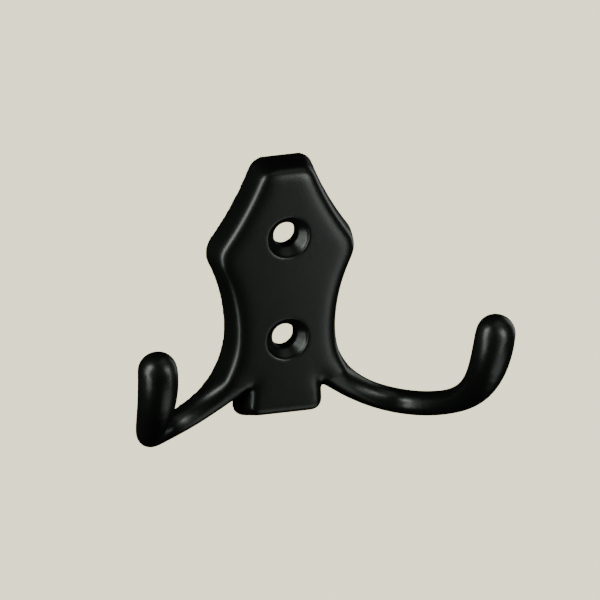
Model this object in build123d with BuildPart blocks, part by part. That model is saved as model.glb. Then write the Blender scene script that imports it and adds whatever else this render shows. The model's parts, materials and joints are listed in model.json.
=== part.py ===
from build123d import *
import math
import os

# Double coat hook, one die-cast piece. The wall is the plane y = 0, the hook faces -Y, +Z is up
# and the origin lies on the wall halfway between the two screw holes. Sizes are in millimetres.

# Plate: its outline at the wall, drafted towards its face so that it leaves the die
plate_depth = 7.0
plate_draft = 10.0
top_height = 28.0
top_half_width = 6.2
top_corner = 3.6
flank_mid_height = 18.0
flank_mid_half_width = 10.7
shoulder_height = 8.0
shoulder_half_width = 17.5
shoulder_corner = 5.5
waist_height = -10.3
waist_half_width = 12.15
flare_radius = 18.4
flare_turn = 44.0
underside_angle = 33.5
underside_lean = 12.0
underside_edge_radius = 2.2
nose_corner = 3.2
face_edge_radius = 1.9

# Tail tab between the arms, narrower towards the face and towards the plate
tail_half_width = 10.3
tail_bottom = -30.6
tail_corner = 3.0
tail_lean = 5.0
tail_face_inset = 2.4
tail_face_corner = 2.0
notch_height = -25.2

# Recess behind the plate, within a rim that meets the wall, and the rib that crosses it at half height
recess_depth = 2.0
recess_width = 13.0
recess_top = 21.0
recess_bottom = -25.0
recess_corner = 3.0
rib_width = 4.0

# Two countersunk screw holes, one above the other
screw_spacing = 23.0
screw_hole_diameter = 5.3
countersink_diameter = 9.0
countersink_angle = 90.0
countersink_step = 0.45

# Arms: each grows out of the plate's nose, turns round within a short stretch, sweeps out, forward
# and up as a round bar, and swells into a bulb
root_radius = 2.9
bar_radius = 2.6
tip_radius = 4.4
nose_turn = 29.0
nose_reach = 3.3
nose_center = 3.2
neck_spread, neck_reach, neck_height = 20.4, 3.1, -27.7
low_spread, low_reach, low_height = 25.5, 4.6, -29.2
elbow_spread, elbow_reach, elbow_height = 31.9, 12.0, -27.7
rise_spread, rise_reach, rise_height = 36.3, 25.2, -19.3
tip_spread, tip_reach, tip_height = 37.6, 32.5, -4.7
morph_share = 0.12
morph_power = 2.0
slim_share = 0.2
bulb_share = 0.48
morph_steps = 4
bar_steps = 22

# Foot: the ledge on the wall that carries the flare on behind each arm
foot_start = 20.0
foot_turn = 66.0
foot_width = 3.0
foot_depth = 2.9
foot_corner = 1.2

# The flare from the waist to each arm turns about a centre beside the plate
flare_center = Vector(waist_half_width + flare_radius, 0, waist_height)
flare_end = math.radians(flare_turn)
nose_top = (
    flare_center.X - flare_radius * math.cos(flare_end),
    flare_center.Z - flare_radius * math.sin(flare_end),
)

# The plate's underside meets the tail's side at the notch, and the middle line of the plate further up
underside_slope = math.tan(math.radians(underside_angle))
underside_middle = notch_height + tail_half_width * underside_slope
across = math.tan(flare_end)
nose_under_x = (underside_middle - nose_top[1] + nose_top[0] * across) / (underside_slope + across)
nose_under = (nose_under_x, underside_middle - underside_slope * nose_under_x)

# The nose is cut square to the flare, and the underside leans up towards the face
forward = Vector(0, -1, 0)
nose_angle = math.radians(nose_turn)
along_flare = Vector(math.sin(nose_angle), 0, -math.cos(nose_angle))
nose_cut = Plane(origin=flare_center, z_dir=along_flare)
lean = math.radians(underside_lean)
downward = Vector(0, 0, -1).rotate(Axis.Y, underside_angle)
underside_cut = Plane(
    origin=(0, 0, underside_middle), z_dir=downward * math.cos(lean) + forward * math.sin(lean)
)
root_from_flare = flare_radius + nose_center
root = flare_center + forward * nose_reach - root_from_flare * Vector(math.cos(nose_angle), 0, math.sin(nose_angle))


def smooth_step(share):
    """Rises from 0 to 1 with no kink at either end."""
    share = min(max(share, 0.0), 1.0)
    return share * share * (3 - 2 * share)


def arm_radius(share):
    """Radius of the arm at this share of its length: stout at the root, slim, then swelling."""
    stout = (root_radius - bar_radius) * (1 - smooth_step(share / slim_share))
    bulb = (tip_radius - bar_radius) * smooth_step((share - bulb_share) / (1 - bulb_share))
    return bar_radius + stout + bulb


def tail_outline(inset):
    """Right half of the tail's outline, drawn in by this much, from its foot up into the plate."""
    tilt = math.tan(math.radians(tail_lean))
    foot_line = tail_bottom + inset
    side = tail_half_width - inset
    return ((0, foot_line), (side, foot_line), (side - tilt * (waist_height - foot_line), waist_height), (0, waist_height))


def face_edges(half):
    """Edges round the plate's face, without those that lie in the middle plane and in the nose's cut."""
    edges = half.faces().sort_by(Axis.Y)[0].edges()
    edges = edges.filter_by(lambda e: abs(e.center().X) > 0.01)
    return edges.filter_by(lambda e: abs((e.center() - flare_center).dot(along_flare)) > 0.01)


def is_under(edge):
    """True for the face's edges along the underside, between the arms."""
    return edge.center().Z < waist_height and edge.center().X < waist_half_width - 2


with BuildPart() as plate:
    with BuildSketch(Plane.XZ) as outline:
        with BuildLine():
            Line((0, top_height), (top_half_width, top_height))
            ThreePointArc(
                (top_half_width, top_height),
                (flank_mid_half_width, flank_mid_height),
                (shoulder_half_width, shoulder_height),
            )
            TangentArc((waist_half_width, waist_height), (shoulder_half_width, shoulder_height), tangent=(0, 1))
            TangentArc((waist_half_width, waist_height), nose_top, tangent=(0, -1))
            Line(nose_top, nose_under)
            Line(nose_under, (0, underside_middle))
            mirror(about=Plane.YZ)
        make_face()
        fillet(outline.vertices().filter_by(lambda v: abs(v.Y - top_height) < 0.01), top_corner)
        fillet(outline.vertices().filter_by(lambda v: abs(v.Y - shoulder_height) < 0.01), shoulder_corner)
        fillet(outline.vertices().filter_by(lambda v: abs(v.Y - nose_top[1]) < 0.01), nose_corner)
        fillet(outline.vertices().filter_by(lambda v: abs(v.Y - nose_under[1]) < 0.01), nose_corner)
        fillet(outline.vertices().filter_by(lambda v: abs(v.X) < 0.01), nose_corner)
    extrude(amount=plate_depth, taper=plate_draft)
    split(bisect_by=Plane.YZ, keep=Keep.TOP)
    split(bisect_by=nose_cut, keep=Keep.BOTTOM)
    split(bisect_by=underside_cut, keep=Keep.BOTTOM)
    fillet(face_edges(plate).filter_by(is_under), underside_edge_radius)
    fillet(face_edges(plate).filter_by(lambda e: not is_under(e)), face_edge_radius)
    nose = plate.faces().filter_by(lambda f: f.normal_at().dot(along_flare) > 0.999).sort_by(SortBy.AREA)[-1]

with BuildLine() as arm_line:
    arm_route = Spline(
        root,
        (neck_spread, -neck_reach, neck_height),
        (low_spread, -low_reach, low_height),
        (elbow_spread, -elbow_reach, elbow_height),
        (rise_spread, -rise_reach, rise_height),
        (tip_spread, -tip_reach, tip_height),
    )


def arm_plane(share):
    """Plane square to the arm at this share of its length, with its x direction towards the front."""
    travel = arm_route % share
    return Plane(origin=arm_route @ share, x_dir=forward - travel * forward.dot(travel), z_dir=travel)


# The nose's own outline turns into a circle in a few sections. Their wires keep one arc for each edge of
# the nose, so that the loft joins like to like.
nose_plane = Plane(origin=root, x_dir=forward, z_dir=along_flare)
nose_sides = [[nose_plane.to_local_coords(edge @ place) for place in (0, 0.5, 1)] for edge in nose.outer_wire().edges()]
morph_wires = [nose.outer_wire()]
for step in range(1, morph_steps + 1):
    share = morph_share * step / morph_steps
    roundness = 1 - (1 - step / morph_steps) ** morph_power
    sides = []
    for side in nose_sides:
        flat = [Vector(point.X, point.Y) for point in side]
        moved = [p * (1 - roundness) + p.normalized() * arm_radius(share) * roundness for p in flat]
        sides.append(Edge.make_three_point_arc(*moved))
    morph_wires.append(arm_plane(share).from_local_coords(Wire(sides)))

with BuildPart() as arm:
    add(Solid.make_loft(morph_wires, ruled=True))
    for step in range(bar_steps + 1):
        share = morph_share + (1 - morph_share) * step / bar_steps
        with BuildSketch(arm_plane(share)):
            Circle(arm_radius(share))
    loft(ruled=True)
    with Locations(arm_plane(1)):
        Sphere(tip_radius, arc_size1=0, align=Align.NONE)

with BuildPart() as foot:
    with BuildSketch(Plane.XZ) as foot_outline:
        with BuildLine():
            middle = (flare_center.X, flare_center.Z)
            inner = CenterArc(middle, flare_radius, 180 + foot_start, foot_turn - foot_start)
            outer = CenterArc(middle, flare_radius + foot_width, 180 + foot_start, foot_turn - foot_start)
            Line(inner @ 0, outer @ 0)
            Line(inner @ 1, outer @ 1)
        make_face()
        fillet(foot_outline.vertices(), foot_corner)
    extrude(amount=foot_depth, taper=plate_draft)

with BuildPart() as tail:
    with BuildSketch(Plane.XZ) as tail_back:
        with BuildLine():
            Polyline(*tail_outline(0))
            mirror(about=Plane.YZ)
        make_face()
        fillet(tail_back.vertices().group_by(Axis.Y)[0], tail_corner)
    with BuildSketch(Plane.XZ.offset(plate_depth)) as tail_front:
        with BuildLine():
            Polyline(*tail_outline(tail_face_inset))
            mirror(about=Plane.YZ)
        make_face()
        fillet(tail_front.vertices().group_by(Axis.Y)[0], tail_face_corner)
    loft(ruled=True)
    fillet(tail.faces().sort_by(Axis.Y)[0].edges(), face_edge_radius)

with BuildPart() as double_hook:
    # Both sides come from one half, so that the hook is the same on either side
    add(plate.part)
    add(arm.part)
    add(tail.part)
    add(foot.part)
    split(bisect_by=Plane.YZ, keep=Keep.TOP)
    mirror(about=Plane.YZ)

    with BuildSketch(Plane.XZ):
        with Locations((0, (recess_top + rib_width / 2) / 2)):
            RectangleRounded(recess_width, recess_top - rib_width / 2, recess_corner)
        with Locations((0, (recess_bottom - rib_width / 2) / 2)):
            RectangleRounded(recess_width, -rib_width / 2 - recess_bottom, recess_corner)
    extrude(amount=recess_depth, mode=Mode.SUBTRACT)

    with Locations(Plane.XZ.offset(plate_depth - countersink_step)):
        with GridLocations(0, screw_spacing, 1, 2):
            CounterSinkHole(
                screw_hole_diameter / 2, countersink_diameter / 2, counter_sink_angle=countersink_angle
            )
    with Locations(Plane.XZ.offset(plate_depth)):
        with GridLocations(0, screw_spacing, 1, 2):
            Hole(countersink_diameter / 2, depth=countersink_step)

os.makedirs("parts", exist_ok=True)
double_hook.part.label = "double_hook"
export_step(double_hook.part, "parts/double_hook.step")
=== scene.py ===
import json
import math

import bpy
from bpy.props import FloatProperty, FloatVectorProperty, IntProperty, PointerProperty
from mathutils import Matrix, Vector

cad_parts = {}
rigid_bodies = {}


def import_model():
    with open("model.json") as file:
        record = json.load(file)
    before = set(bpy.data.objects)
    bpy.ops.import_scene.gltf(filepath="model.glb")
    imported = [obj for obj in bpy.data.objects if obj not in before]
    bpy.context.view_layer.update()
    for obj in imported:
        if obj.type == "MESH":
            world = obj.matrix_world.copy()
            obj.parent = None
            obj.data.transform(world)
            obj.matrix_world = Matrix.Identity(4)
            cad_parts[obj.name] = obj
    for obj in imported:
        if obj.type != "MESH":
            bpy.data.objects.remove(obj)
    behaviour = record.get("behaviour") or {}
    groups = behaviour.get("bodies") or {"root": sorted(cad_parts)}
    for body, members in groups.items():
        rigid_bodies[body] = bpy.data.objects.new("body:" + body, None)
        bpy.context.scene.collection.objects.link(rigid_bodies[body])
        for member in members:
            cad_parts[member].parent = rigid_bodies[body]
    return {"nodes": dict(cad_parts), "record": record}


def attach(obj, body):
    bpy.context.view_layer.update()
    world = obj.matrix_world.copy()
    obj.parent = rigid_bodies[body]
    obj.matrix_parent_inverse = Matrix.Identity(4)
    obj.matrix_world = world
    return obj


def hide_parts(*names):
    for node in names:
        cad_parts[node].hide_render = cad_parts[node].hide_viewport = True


bl_info = {
    "name": "Double Coat Hook",
    "version": (1, 0, 0),
    "blender": (4, 5, 0),
    "location": "View3D > Sidebar > Coat Hook",
    "description": "Dresses a die-cast double coat hook in satin powder coat and sets up a small studio",
    "category": "Object",
}

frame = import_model()

MM = 0.001
NODE = "double_hook"

# The solid's facets are joined where their corners are closer than this
MERGE_DISTANCE = 0.001 * MM
SMOOTH_FACTOR = 0.5
SOFTNESS_STEPS = 20

# Where the coat leaves edges crisper, and how much of the rounding they keep
HOLE_REACH = 5.6 * MM
HOLE_SOFTNESS = 0.12
WALL_REACH = 0.6 * MM
WALL_SOFTNESS = 0.35

# The plate swells between these heights above the wall, and this far from its holes it swells fully
PILLOW_START = 1.0 * MM
PILLOW_END = 4.0 * MM
HOLE_BLEND = 1.0 * MM

# Where each arm leaves the plate, how far the plate and the arm blend there, and where the coat builds up
NOSE_X = 11.7 * MM
NOSE_Z = -20.8 * MM
NOSE_TURN = math.radians(29)
NOSE_BLEND = 4.0 * MM
ARM_BLEND = 2.0 * MM
BUILD_START = 0.5 * MM
BUILD_END = 2.0 * MM

# A noise texture seldom leaves this range
NOISE_LOW, NOISE_HIGH = 0.3, 0.7


def srgb(hex_colour):
    """An sRGB hex colour as linear red, green and blue."""
    channels = [int(hex_colour[i:i + 2], 16) / 255 for i in (1, 3, 5)]
    return tuple(c / 12.92 if c <= 0.04045 else ((c + 0.055) / 1.055) ** 2.4 for c in channels)


# Three lights on the left draw the bright line down the plate's edge, the near strip and the right
# softboxes light the face and the arms, and dim panels close the room beside, above and below. Each has
# its direction from the hook, distance, width and height in metres, and brightness.
LAMPS = (
    ("left softbox", (-0.93, -0.22, 0.21), 0.35, 0.14, 0.28, 6.2),
    ("left high softbox", (-0.80, -0.30, 0.55), 0.35, 0.12, 0.12, 6.0),
    ("left low softbox", (-0.86, -0.28, -0.36), 0.35, 0.12, 0.15, 4.5),
    ("near strip", (0.75, -0.98, -0.16), 0.124, 0.03, 0.12, 2.6),
    ("right softbox", (0.53, -0.81, 0.23), 0.20, 0.05, 0.10, 6.0),
    ("right high softbox", (0.45, -0.80, 0.45), 0.20, 0.08, 0.08, 1.8),
    ("right back panel", (0.90, 0.45, 0.10), 0.30, 0.15, 0.25, 1.2),
    ("top panel", (0.30, -0.35, 0.86), 0.30, 0.25, 0.20, 0.5),
    ("low panel", (0.40, -0.40, -0.80), 0.30, 0.20, 0.15, 1.0),
)
LAMP_AIM = Vector((0, -15, -4)) * MM
LAMP_COLOUR = srgb("#F6FFF8")
ROOM_GLOW = 0.004

# Floor and backdrop, in metres, and how brightly the paper shines
SHEET_WIDTH = 6
SHEET_DEPTH = 2
SHEET_RISE = 3
SWEEP_RADIUS = 0.6
SWEEP_STEPS = 16
PAPER_TONE = 0.02
PAPER_LIGHT = 1.78

# The camera looks at a place on the plate's face, from which the picture's middle is moved
CAMERA_AIM = Vector((0, -7, 11.5)) * MM
AIM_RIGHT = 2.30 * MM
AIM_DOWN = 13.10 * MM
CAMERA_DISTANCE = 0.6
CLIP_NEAR = 0.01
CLIP_FAR = 20


class CoatHookCasting(bpy.types.PropertyGroup):
    """Sizes and colours of the casting and its coat."""

    mesh_size: FloatProperty(
        name="Mesh size", description="Edge length of the casting's faces",
        default=0.3 * MM, min=0.2 * MM, subtype="DISTANCE", unit="LENGTH", precision=5,
    )
    softening: IntProperty(
        name="Softening", description="How far the coat rounds the casting's edges and corners",
        default=35, min=0,
    )
    pillowing: IntProperty(
        name="Pillowing", description="How far the plate's face is rounded off at its edge",
        default=175, min=0,
    )
    coat_colour: FloatVectorProperty(
        name="Coat colour", description="Colour of the powder coat", subtype="COLOR", size=3,
        default=srgb("#0D0F0D"), min=0, max=1,
    )
    coat_roughness: FloatProperty(
        name="Coat roughness", description="Roughness of the satin coat", default=0.34, min=0, max=1,
    )
    coat_build: FloatProperty(
        name="Coat build-up", description="How thick the coat lies on the arms", default=0.08 * MM, min=0,
        subtype="DISTANCE", unit="LENGTH", precision=5,
    )
    peel_size: FloatProperty(
        name="Orange peel", description="Spacing of the coat's shallow waves", default=1.1 * MM,
        subtype="DISTANCE", unit="LENGTH", precision=5,
    )
    grit_size: FloatProperty(
        name="Grit", description="Spacing of the coat's fine grain", default=0.3 * MM,
        subtype="DISTANCE", unit="LENGTH", precision=5,
    )
    cloud_size: FloatProperty(
        name="Clouds", description="Spacing of slow changes in the coat's tone", default=9 * MM,
        subtype="DISTANCE", unit="LENGTH", precision=5,
    )


class CoatHookStudio(bpy.types.PropertyGroup):
    """Camera, light and background."""

    azimuth: FloatProperty(
        name="Azimuth", description="Angle of the camera round the hook", default=math.radians(-18.9),
        subtype="ANGLE", unit="ROTATION",
    )
    elevation: FloatProperty(
        name="Elevation", description="Angle of the camera above the hook", default=math.radians(21.35),
        subtype="ANGLE", unit="ROTATION",
    )
    roll: FloatProperty(
        name="Roll", description="Turn of the camera about its own axis", default=math.radians(0.73),
        subtype="ANGLE", unit="ROTATION",
    )
    frame_width: FloatProperty(
        name="Frame width", description="Width of what the camera sees", default=126.85 * MM,
        subtype="DISTANCE", unit="LENGTH",
    )
    paper_colour: FloatVectorProperty(
        name="Paper colour", description="Colour of the floor and the backdrop", subtype="COLOR", size=3,
        default=srgb("#FFF7D4"), min=0, max=1,
    )
    floor_height: FloatProperty(
        name="Floor height", description="Height of the floor, measured from halfway between the screw holes",
        default=-150 * MM, subtype="DISTANCE", unit="LENGTH",
    )


def deselect():
    """Leaves nothing selected, in object mode."""
    if bpy.context.object and bpy.context.object.mode != "OBJECT":
        bpy.ops.object.mode_set(mode="OBJECT")
    bpy.ops.object.select_all(action="DESELECT")


def only(piece):
    """Selects this object alone and makes it the active one."""
    deselect()
    piece.select_set(True)
    bpy.context.view_layer.objects.active = piece


def apply_modifier(piece, name, kind, **settings):
    """Adds a modifier with its settings to the piece and applies it."""
    only(piece)
    modifier = piece.modifiers.new(name, kind)
    for key, value in settings.items():
        setattr(modifier, key, value)
    bpy.ops.object.modifier_apply(modifier=modifier.name)


def node(tree, kind, inputs=(), links=()):
    """Adds one shader node with its input values and the sockets that feed it."""
    made = tree.nodes.new(kind)
    for key, value in dict(inputs).items():
        made.inputs[key].default_value = value
    for key, source in dict(links).items():
        tree.links.new(source, made.inputs[key])
    return made


def powder_coat(values):
    """Satin powder coat on die-cast zinc.

    Baked powder flows into a closed, slightly wavy skin: the eye sees near-black paint with a hint of
    green, soft broad highlights, a shallow orange peel and a fine grain that breaks up the light.
    """
    material = bpy.data.materials.new("satin powder coat on die-cast zinc")
    material.use_nodes = True
    tree = material.node_tree
    tree.nodes.clear()
    place = node(tree, "ShaderNodeTexCoord").outputs["Object"]
    peel = node(
        tree, "ShaderNodeTexNoise", links={"Vector": place},
        inputs={"Scale": 1 / values.peel_size, "Detail": 2.0, "Roughness": 0.45},
    )
    grit = node(
        tree, "ShaderNodeTexNoise", links={"Vector": place},
        inputs={"Scale": 1 / values.grit_size, "Detail": 2.0, "Roughness": 0.6},
    )
    # The coat is a little thicker here and thinner there, about a finger's width apart
    cloud = node(
        tree, "ShaderNodeTexNoise", links={"Vector": place},
        inputs={"Scale": 1 / values.cloud_size, "Detail": 3.0, "Roughness": 0.55},
    )
    tone = node(tree, "ShaderNodeValToRGB", links={"Fac": cloud.outputs["Fac"]})
    colour = Vector(values.coat_colour)
    dark, light = tone.color_ramp.elements
    dark.position, dark.color = NOISE_LOW, (*(colour * 0.8), 1)
    light.position, light.color = NOISE_HIGH, (*(colour * 1.25), 1)
    gloss = node(
        tree, "ShaderNodeMapRange", links={"Value": grit.outputs["Fac"]},
        inputs={
            "From Min": NOISE_LOW, "From Max": NOISE_HIGH,
            "To Min": values.coat_roughness - 0.02, "To Max": values.coat_roughness + 0.02,
        },
    )
    waves = node(
        tree, "ShaderNodeBump", links={"Height": peel.outputs["Fac"]},
        inputs={"Strength": 0.35, "Distance": 0.04 * MM},
    )
    grain = node(
        tree, "ShaderNodeBump", links={"Height": grit.outputs["Fac"], "Normal": waves.outputs["Normal"]},
        inputs={"Strength": 0.15, "Distance": 0.012 * MM},
    )
    skin = node(
        tree, "ShaderNodeBsdfPrincipled", inputs={"IOR": 1.5, "Metallic": 0.0},
        links={
            "Base Color": tone.outputs["Color"],
            "Roughness": gloss.outputs["Result"],
            "Normal": grain.outputs["Normal"],
        },
    )
    node(tree, "ShaderNodeOutputMaterial", links={"Surface": skin.outputs["BSDF"]})
    return material


def ramp(value, start, end):
    """Rises from 0 at the start to 1 at the end."""
    return min(max((value - start) / (end - start), 0.0), 1.0)


def from_hole(place):
    """Distance of a place from the axis of the nearer screw hole."""
    mount = next(m for m in frame["record"]["mounts"] if m["name"] == "screw_holes")
    half_spacing = mount["dims"]["spacing_y_mm"] * MM / 2
    return min(math.hypot(place.x, place.z - side) for side in (half_spacing, -half_spacing))


def past_nose(place):
    """How far a place lies beyond the end of the plate's flare, along the flare."""
    return (abs(place.x) - NOSE_X) * math.sin(NOSE_TURN) - (place.z - NOSE_Z) * math.cos(NOSE_TURN)


def coat_softness(place):
    """How freely the coat rounds the casting here: little at the holes and at the wall."""
    if from_hole(place) < HOLE_REACH:
        return HOLE_SOFTNESS
    return WALL_SOFTNESS if place.y > -WALL_REACH else 1.0


def pillow_softness(place):
    """How freely the plate's edge is rounded: fully near its face, not at the wall, holes or arms."""
    on_plate = ramp(-past_nose(place), 0.0, NOSE_BLEND)
    near_face = ramp(-place.y, PILLOW_START, PILLOW_END)
    return on_plate * near_face * ramp(from_hole(place), HOLE_REACH, HOLE_REACH + HOLE_BLEND)


def arm_share(place):
    """1 on the arms, falling to 0 at the wall and where they grow out of the plate."""
    off_wall = ramp(-place.y, BUILD_START, BUILD_END)
    outside = ramp(abs(place.x), NOSE_X, NOSE_X + ARM_BLEND)
    return off_wall * ramp(past_nose(place), 0.0, NOSE_BLEND) * outside


def weigh(piece, name, softness):
    """Gives the piece a vertex group that follows this softness in small steps."""
    group = piece.vertex_groups.new(name=name)
    members = {}
    for vertex in piece.data.vertices:
        members.setdefault(round(softness(vertex.co) * SOFTNESS_STEPS), []).append(vertex.index)
    for step, indices in members.items():
        group.add(indices, step / SOFTNESS_STEPS, "REPLACE")
    return group.name


class COATHOOK_OT_casting(bpy.types.Operator):
    """Makes the casting's visible skin, with the coat's soft edges, in place of the CAD solid"""

    bl_idname = "coathook.casting"
    bl_label = "Casting"

    def execute(self, context):
        values = context.scene.coat_hook_casting
        solid = frame["nodes"][NODE]
        only(solid)
        bpy.ops.object.duplicate()
        piece = context.active_object
        if piece is None or piece == solid:
            raise RuntimeError("the casting could not be copied")
        bpy.ops.object.parent_clear(type="CLEAR_KEEP_TRANSFORM")
        for key in [k for k in piece.keys() if k.startswith("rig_")]:
            del piece[key]
        piece.name = piece.data.name = "cast_double_hook"

        # The solid's facets share no corners until they are merged
        bpy.ops.object.mode_set(mode="EDIT")
        bpy.ops.mesh.select_all(action="SELECT")
        bpy.ops.mesh.remove_doubles(threshold=MERGE_DISTANCE)
        bpy.ops.object.mode_set(mode="OBJECT")
        apply_modifier(
            piece, "skin", "REMESH", mode="VOXEL", voxel_size=values.mesh_size, adaptivity=0.0,
            use_smooth_shade=True,
        )
        if not piece.data.polygons:
            raise RuntimeError("the casting's skin came out empty")

        # The coat rounds everything but the countersunk holes and the rim that meets the wall. Then the
        # plate swells to its face like a pillow, so its edge is rounded far more.
        for name, softness, rounds in (
            ("soft edges", coat_softness, values.softening),
            ("pillow", pillow_softness, values.pillowing),
        ):
            apply_modifier(
                piece, name, "SMOOTH", factor=SMOOTH_FACTOR, iterations=rounds,
                vertex_group=weigh(piece, name, softness),
            )
        # The coat's thickness makes up for what the rounding takes off the slim arms
        apply_modifier(
            piece, "coat", "DISPLACE", strength=values.coat_build, mid_level=0.0,
            vertex_group=weigh(piece, "arms", arm_share),
        )
        piece.vertex_groups.clear()
        only(piece)
        bpy.ops.object.shade_smooth()

        piece.data.materials.clear()
        piece.data.materials.append(powder_coat(values))
        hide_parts(NODE)
        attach(piece, "root")
        return {"FINISHED"}


def paper(colour):
    """Matt paper of the studio.

    The eye sees an even pale tone. It has a little light of its own, so that no shadow shows.
    """
    material = bpy.data.materials.new("matt studio paper")
    material.use_nodes = True
    tree = material.node_tree
    tree.nodes.clear()
    skin = node(
        tree, "ShaderNodeBsdfPrincipled",
        inputs={
            "Base Color": (PAPER_TONE, PAPER_TONE, PAPER_TONE, 1), "Roughness": 0.9,
            "Specular IOR Level": 0.0, "Emission Color": (*colour, 1), "Emission Strength": PAPER_LIGHT,
        },
    )
    node(tree, "ShaderNodeOutputMaterial", links={"Surface": skin.outputs["BSDF"]})
    return material


def softbox(name, towards, distance, width, height, brightness):
    """A rectangular light that faces the hook from this direction, with its height upright."""
    towards = Vector(towards)
    bpy.ops.object.light_add(type="AREA", location=LAMP_AIM + towards.normalized() * distance)
    lamp = bpy.context.active_object
    lamp.name = lamp.data.name = name
    lamp.data.shape = "RECTANGLE"
    lamp.data.size = width
    lamp.data.size_y = height
    lamp.data.energy = brightness * math.pi * width * height
    lamp.data.color = LAMP_COLOUR
    lamp.rotation_euler = towards.to_track_quat("Z", "Y").to_euler()
    lamp.visible_camera = False


def studio_room(paper_colour):
    """A dark room round the hook, in which the camera sees only the paper's tone."""
    world = bpy.data.worlds.new("studio room")
    world.use_nodes = True
    tree = world.node_tree
    tree.nodes.clear()
    rays = node(tree, "ShaderNodeLightPath")
    room = node(
        tree, "ShaderNodeBackground", inputs={"Color": (ROOM_GLOW, ROOM_GLOW, ROOM_GLOW, 1), "Strength": 1.0},
    )
    seen = node(
        tree, "ShaderNodeBackground", inputs={"Color": (*paper_colour, 1), "Strength": PAPER_LIGHT},
    )
    either = node(
        tree, "ShaderNodeMixShader",
        links={"Fac": rays.outputs["Is Camera Ray"], 1: room.outputs[0], 2: seen.outputs[0]},
    )
    node(tree, "ShaderNodeOutputWorld", links={"Surface": either.outputs[0]})
    return world


def camera_axes(azimuth, elevation, roll):
    """The camera's right, up and backward directions."""
    flat = math.cos(elevation)
    back = Vector((math.sin(azimuth) * flat, -math.cos(azimuth) * flat, math.sin(elevation)))
    level = Vector((math.cos(azimuth), math.sin(azimuth), 0))
    upright = back.cross(level)
    right = level * math.cos(roll) + upright * math.sin(roll)
    up = upright * math.cos(roll) - level * math.sin(roll)
    return right, up, back


class COATHOOK_OT_studio(bpy.types.Operator):
    """Sets up the floor, the backdrop, the lights and the camera"""

    bl_idname = "coathook.studio"
    bl_label = "Studio"

    def execute(self, context):
        values = context.scene.coat_hook_studio

        # Floor and backdrop: one sheet of paper, swept up behind the hook
        deselect()
        bpy.ops.mesh.primitive_plane_add(size=1.0, location=(0, 0, values.floor_height))
        sheet = context.active_object
        sheet.name = sheet.data.name = "studio_paper"
        bpy.ops.object.mode_set(mode="EDIT")
        bpy.ops.mesh.select_all(action="SELECT")
        bpy.ops.transform.resize(value=(SHEET_WIDTH, SHEET_DEPTH, 1))
        bpy.ops.mesh.select_all(action="DESELECT")
        bpy.ops.object.mode_set(mode="OBJECT")
        for edge in sheet.data.edges:
            ends = [sheet.data.vertices[i] for i in edge.vertices]
            edge.select = all(end.co.y > 0 for end in ends)
            for end in ends:
                end.select = end.select or edge.select
        if not any(edge.select for edge in sheet.data.edges):
            raise RuntimeError("the backdrop's edge was not found")
        bpy.ops.object.mode_set(mode="EDIT")
        bpy.ops.mesh.select_mode(type="EDGE")
        bpy.ops.mesh.extrude_region_move(TRANSFORM_OT_translate={"value": (0, 0, SHEET_RISE)})
        bpy.ops.object.mode_set(mode="OBJECT")
        bpy.ops.object.transform_apply(location=True, rotation=True, scale=True)
        apply_modifier(
            sheet, "sweep", "BEVEL", width=SWEEP_RADIUS, segments=SWEEP_STEPS, limit_method="ANGLE",
        )
        bpy.ops.object.shade_smooth()
        sheet.data.materials.append(paper(values.paper_colour))
        sheet.visible_glossy = False
        sheet.visible_diffuse = False

        for lamp in LAMPS:
            softbox(*lamp)
        context.scene.world = studio_room(values.paper_colour)

        # The camera has no perspective: the photograph shows none
        right, up, back = camera_axes(values.azimuth, values.elevation, values.roll)
        aim = CAMERA_AIM + right * AIM_RIGHT - up * AIM_DOWN
        bpy.ops.object.camera_add()
        camera = context.active_object
        camera.data.type = "ORTHO"
        camera.data.ortho_scale = values.frame_width
        camera.data.clip_start = CLIP_NEAR
        camera.data.clip_end = CLIP_FAR
        turn = Matrix((right, up, back)).transposed().to_4x4()
        camera.matrix_world = Matrix.Translation(aim + back * CAMERA_DISTANCE) @ turn
        context.scene.camera = camera
        return {"FINISHED"}


class COATHOOK_PT_panel(bpy.types.Panel):
    """Lists the coat hook's pieces and their settings"""

    bl_idname = "COATHOOK_PT_panel"
    bl_label = "Coat Hook"
    bl_space_type = "VIEW_3D"
    bl_region_type = "UI"
    bl_category = "Coat Hook"

    def draw(self, context):
        for title, values, operator in (
            ("Casting", context.scene.coat_hook_casting, COATHOOK_OT_casting),
            ("Studio", context.scene.coat_hook_studio, COATHOOK_OT_studio),
        ):
            box = self.layout.box()
            box.label(text=title)
            for key in values.__annotations__:
                box.prop(values, key)
            box.operator(operator.bl_idname)


CLASSES = (CoatHookCasting, CoatHookStudio, COATHOOK_OT_casting, COATHOOK_OT_studio, COATHOOK_PT_panel)


def register():
    for cls in CLASSES:
        bpy.utils.register_class(cls)
    bpy.types.Scene.coat_hook_casting = PointerProperty(type=CoatHookCasting)
    bpy.types.Scene.coat_hook_studio = PointerProperty(type=CoatHookStudio)


def unregister():
    del bpy.types.Scene.coat_hook_studio
    del bpy.types.Scene.coat_hook_casting
    for cls in reversed(CLASSES):
        bpy.utils.unregister_class(cls)


def main():
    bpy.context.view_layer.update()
    register()
    bpy.ops.coathook.casting()
    bpy.ops.coathook.studio()


if __name__ == "__main__":
    main()
